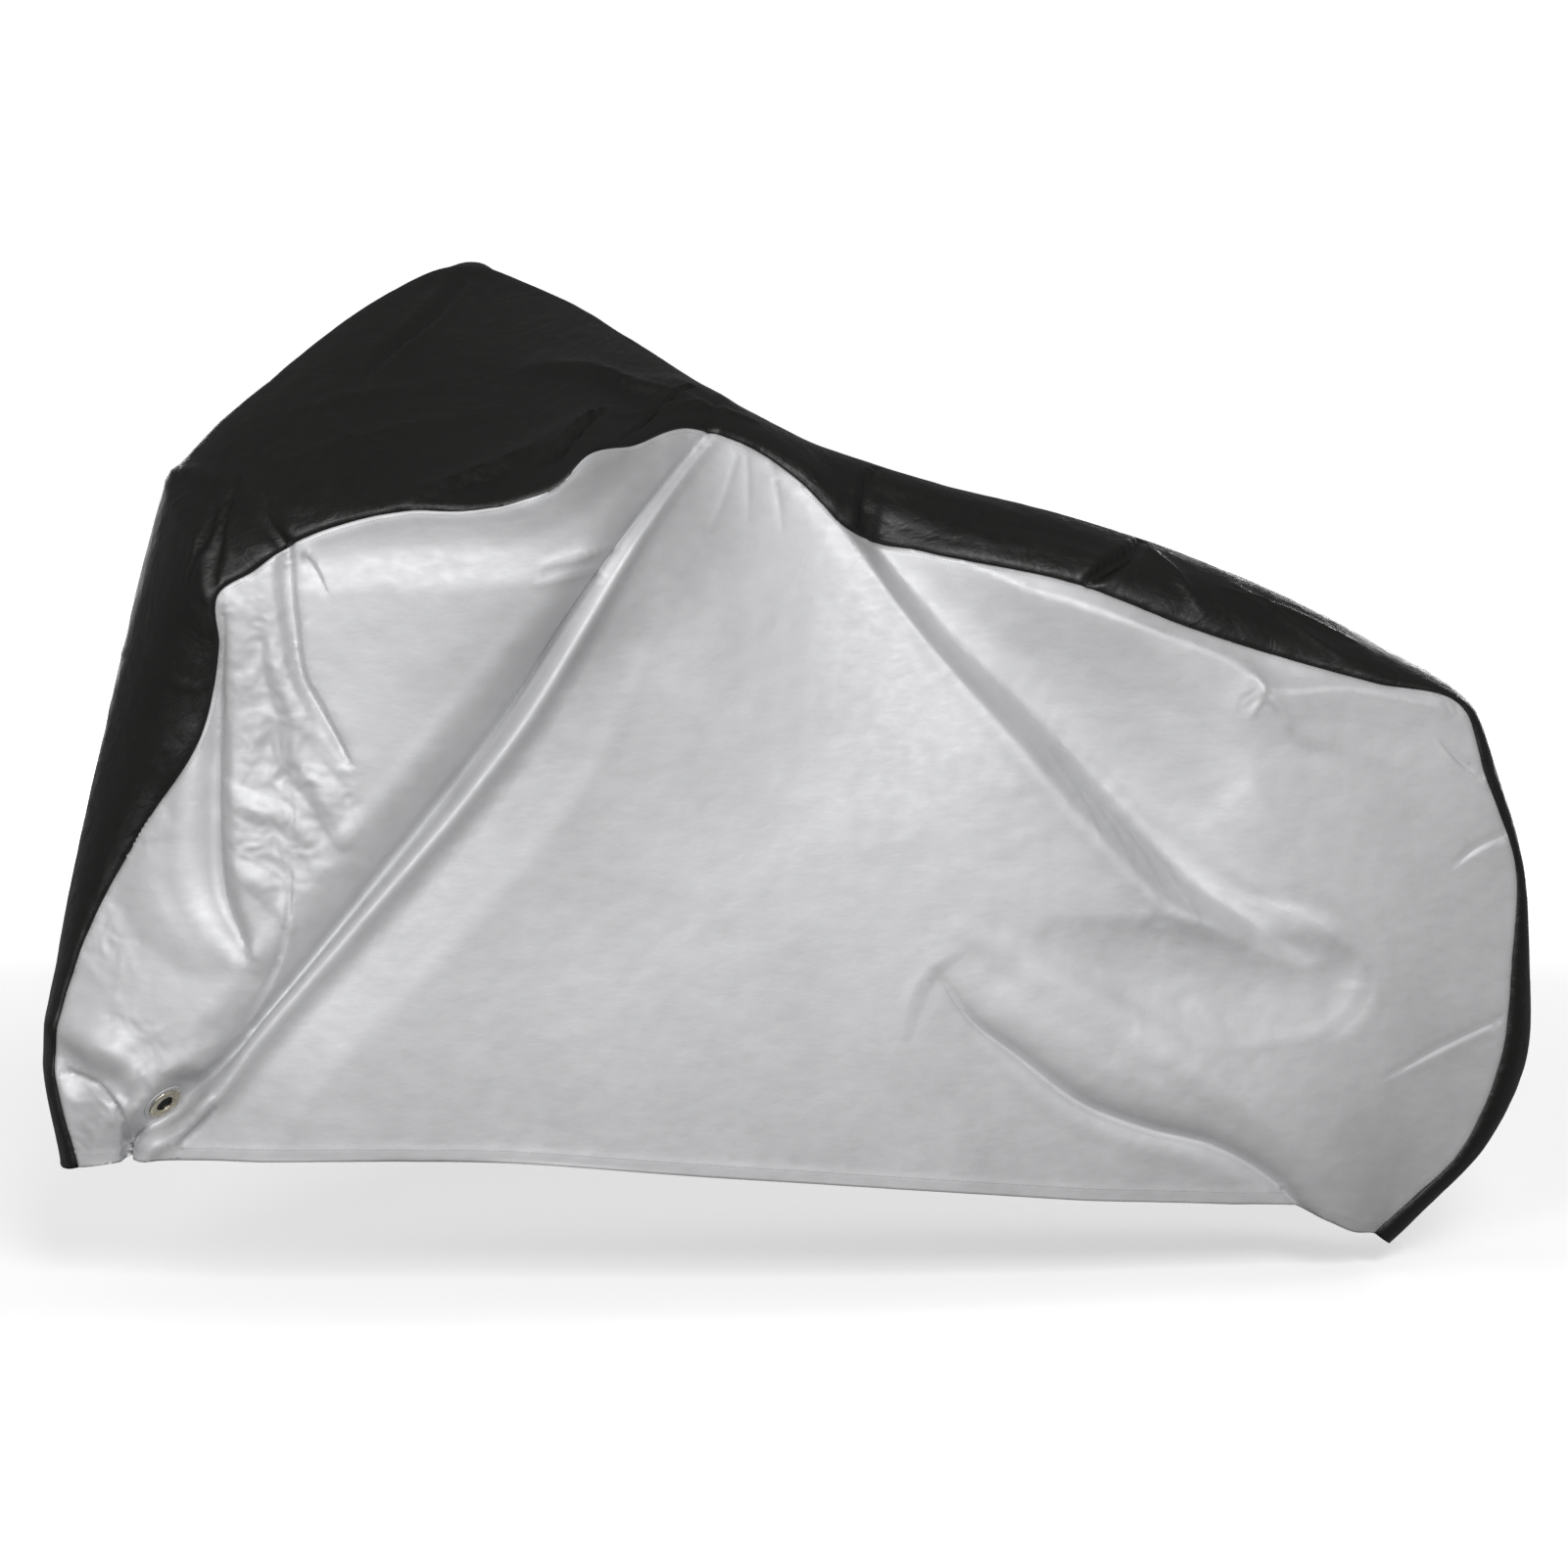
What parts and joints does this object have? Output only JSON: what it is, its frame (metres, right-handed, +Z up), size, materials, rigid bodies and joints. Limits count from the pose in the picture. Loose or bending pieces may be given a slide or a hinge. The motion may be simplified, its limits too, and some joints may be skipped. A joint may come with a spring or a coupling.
{
  "type": "bicycle cover",
  "caption": "Fitted two-tone rain cover hanging hollow over a bicycle: black centre strip, silver side panels and a metal lock eyelet low at the front of each side.",
  "frame": {"origin": "on the cover's middle plane, under its top where the saddle carries it, 1.088 m above the ground that the bicycle stands on", "axes": "+X to the rear of the bicycle, +Y to its far side in the picture (its left is towards the viewer), +Z up"},
  "size_m": [1.8432, 0.5833, 1.2201],
  "materials": {
    "silver_cloth": "satin silver coating on woven polyester",
    "black_cloth": "matte black woven polyester",
    "eyelet_metal": "nickel-plated, satin"
  },
  "bodies": {
    "root": {"centre_strip": "black_cloth", "side_panel_near": "silver_cloth", "side_panel_far": "silver_cloth", "eyelet_patch_near": "silver_cloth", "eyelet_patch_far": "silver_cloth", "eyelet_ring_near": "eyelet_metal", "eyelet_ring_far": "eyelet_metal"}
  },
  "joints": []
}
